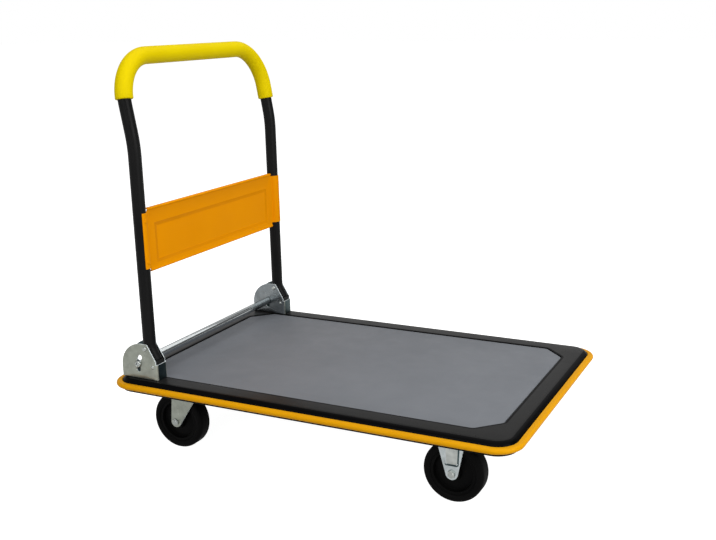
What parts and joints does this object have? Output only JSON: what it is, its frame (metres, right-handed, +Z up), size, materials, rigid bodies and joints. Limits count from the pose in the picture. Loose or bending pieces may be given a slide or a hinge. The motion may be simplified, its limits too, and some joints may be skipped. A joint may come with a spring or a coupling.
{
  "type": "folding platform trolley",
  "caption": "Folding platform trolley: pressed deck with mat and bumper, rigid front and swivel rear castors, and a tubular push handle that folds down when a foot rod is pressed.",
  "frame": {"origin": "on the floor below the middle of the platform", "axes": "+X points forward, away from the handle; +Y is the left side of a person pushing; +Z is up"},
  "size_m": [0.9, 0.6, 0.8393],
  "materials": {
    "deck_paint": "satin dark grey paint",
    "mat_rubber": "matt grey rubber",
    "bumper_plastic": "golden orange plastic",
    "zinc_sheet": "zinc plated sheet",
    "zinc_hardware": "zinc plated",
    "black_rubber": "matt black rubber",
    "tube_paint": "satin black powder coat",
    "grip_plastic": "matt yellow plastic sleeve",
    "panel_paint": "satin orange paint",
    "bush_plastic": "plain moulded plastic",
    "spring_steel": "bright spring steel",
    "tyre_rubber": "matt black rubber",
    "hub_plastic": "black moulded plastic"
  },
  "bodies": {
    "platform": {"deck_pan": "deck_paint", "deck_rib_left": "deck_paint", "deck_rib_right": "deck_paint", "castor_channel_front": "deck_paint", "castor_channel_rear": "deck_paint", "deck_mat": "mat_rubber", "bumper": "bumper_plastic", "hinge_bracket_left": "zinc_sheet", "hinge_bracket_right": "zinc_sheet", "swivel_plate_left": "zinc_sheet", "swivel_plate_right": "zinc_sheet", "rigid_fork_left": "zinc_sheet", "rigid_fork_right": "zinc_sheet", "hinge_pin_left": "zinc_hardware", "hinge_pin_right": "zinc_hardware", "buffer_rivets": "zinc_hardware", "bracket_bolts": "zinc_hardware", "bracket_nuts": "zinc_hardware", "king_pin_left": "zinc_hardware", "king_pin_right": "zinc_hardware", "castor_bolts": "zinc_hardware", "front_axle_left": "zinc_hardware", "front_axle_right": "zinc_hardware", "front_axle_nuts": "zinc_hardware", "foot_buffer_left": "black_rubber", "foot_buffer_right": "black_rubber", "return_spring_left": "spring_steel", "return_spring_right": "spring_steel"},
    "handle": {"handle_tube": "tube_paint", "handle_grip": "grip_plastic", "handle_panel": "panel_paint", "panel_rivets": "zinc_hardware", "hinge_bush_left": "bush_plastic", "hinge_bush_right": "bush_plastic"},
    "release_rod": {"release_rod": "zinc_hardware", "rod_cap_left": "zinc_hardware", "rod_cap_right": "zinc_hardware", "spring_guides": "zinc_hardware"},
    "swivel_left": {"swivel_fork_left": "zinc_sheet", "swivel_balls_left": "spring_steel", "rear_axle_left": "zinc_hardware", "rear_axle_nut_left": "zinc_hardware"},
    "wheel_front_left": {"tyre_front_left": "tyre_rubber", "wheel_hub_front_left": "hub_plastic", "wheel_bush_front_left": "bush_plastic"},
    "wheel_rear_left": {"tyre_rear_left": "tyre_rubber", "wheel_hub_rear_left": "hub_plastic", "wheel_bush_rear_left": "bush_plastic"},
    "swivel_right": {"swivel_fork_right": "zinc_sheet", "swivel_balls_right": "spring_steel", "rear_axle_right": "zinc_hardware", "rear_axle_nut_right": "zinc_hardware"},
    "wheel_front_right": {"tyre_front_right": "tyre_rubber", "wheel_hub_front_right": "hub_plastic", "wheel_bush_front_right": "bush_plastic"},
    "wheel_rear_right": {"tyre_rear_right": "tyre_rubber", "wheel_hub_rear_right": "hub_plastic", "wheel_bush_rear_right": "bush_plastic"}
  },
  "joints": [
    {"name": "handle_fold", "type": "hinge", "parent": "platform", "child": "handle", "pos_m": [-0.364, 0, 0.228], "axis": [0, 1, 0], "range_deg": [0, 96.3]},
    {"name": "rod_release", "type": "slide", "parent": "platform", "child": "release_rod", "axis": [0, 0, -1], "range_m": [0, 0.012], "stiffness_N_per_m": 1000, "springref_m": -0.01, "deforming": ["return_spring_left", "return_spring_right"]},
    {"name": "swivel_left", "type": "hinge", "parent": "platform", "child": "swivel_left", "pos_m": [-0.29, 0.2167, 0.141], "axis": [0, 0, 1], "continuous": true},
    {"name": "spin_front_left", "type": "hinge", "parent": "platform", "child": "wheel_front_left", "pos_m": [0.3068, 0.2167, 0.061], "axis": [0, 1, 0], "continuous": true},
    {"name": "spin_rear_left", "type": "hinge", "parent": "swivel_left", "child": "wheel_rear_left", "pos_m": [-0.3215, 0.2167, 0.061], "axis": [0, 1, 0], "continuous": true},
    {"name": "swivel_right", "type": "hinge", "parent": "platform", "child": "swivel_right", "pos_m": [-0.29, -0.2167, 0.141], "axis": [0, 0, 1], "continuous": true},
    {"name": "spin_front_right", "type": "hinge", "parent": "platform", "child": "wheel_front_right", "pos_m": [0.3068, -0.2167, 0.061], "axis": [0, 1, 0], "continuous": true},
    {"name": "spin_rear_right", "type": "hinge", "parent": "swivel_right", "child": "wheel_rear_right", "pos_m": [-0.3215, -0.2167, 0.061], "axis": [0, 1, 0], "continuous": true}
  ]
}
